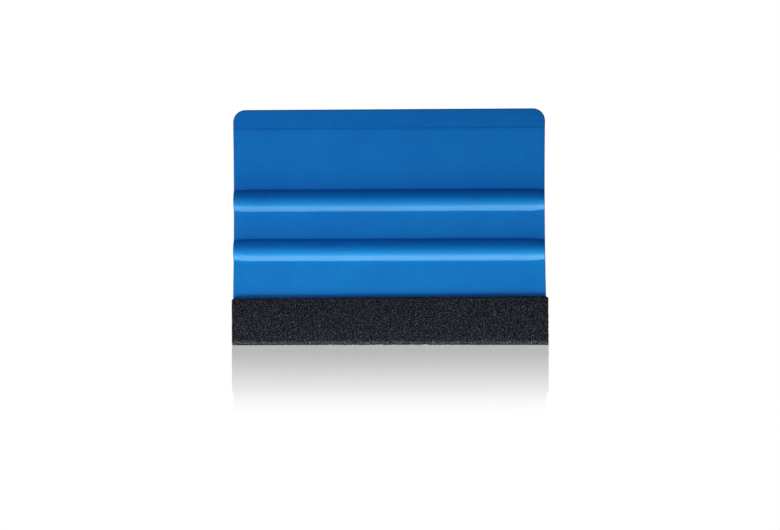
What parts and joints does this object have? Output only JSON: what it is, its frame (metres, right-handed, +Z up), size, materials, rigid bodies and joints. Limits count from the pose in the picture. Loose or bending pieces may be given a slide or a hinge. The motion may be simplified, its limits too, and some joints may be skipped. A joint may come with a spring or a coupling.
{
  "type": "squeegee applicator",
  "caption": "Flat plastic hand squeegee with a thin bevelled edge, rounded finger ribs on both faces and a felt strip folded over its working edge, for laying vinyl film.",
  "frame": {"origin": "middle of the felt working edge's underside, the face that the squeegee stands on", "axes": "+Z up from the felt edge to the thin bevelled edge, +X along the width, -Y out of the front face and +Y out of the back face"},
  "size_m": [0.1008, 0.0068, 0.0747],
  "materials": {
    "blade_plastic": "satin moulded polypropylene, blue",
    "tape": "double-sided adhesive film, off-white",
    "felt": "charcoal needled felt"
  },
  "bodies": {
    "root": {"blade": "blade_plastic", "adhesive_tape": "tape", "felt_edge": "felt"}
  },
  "joints": []
}
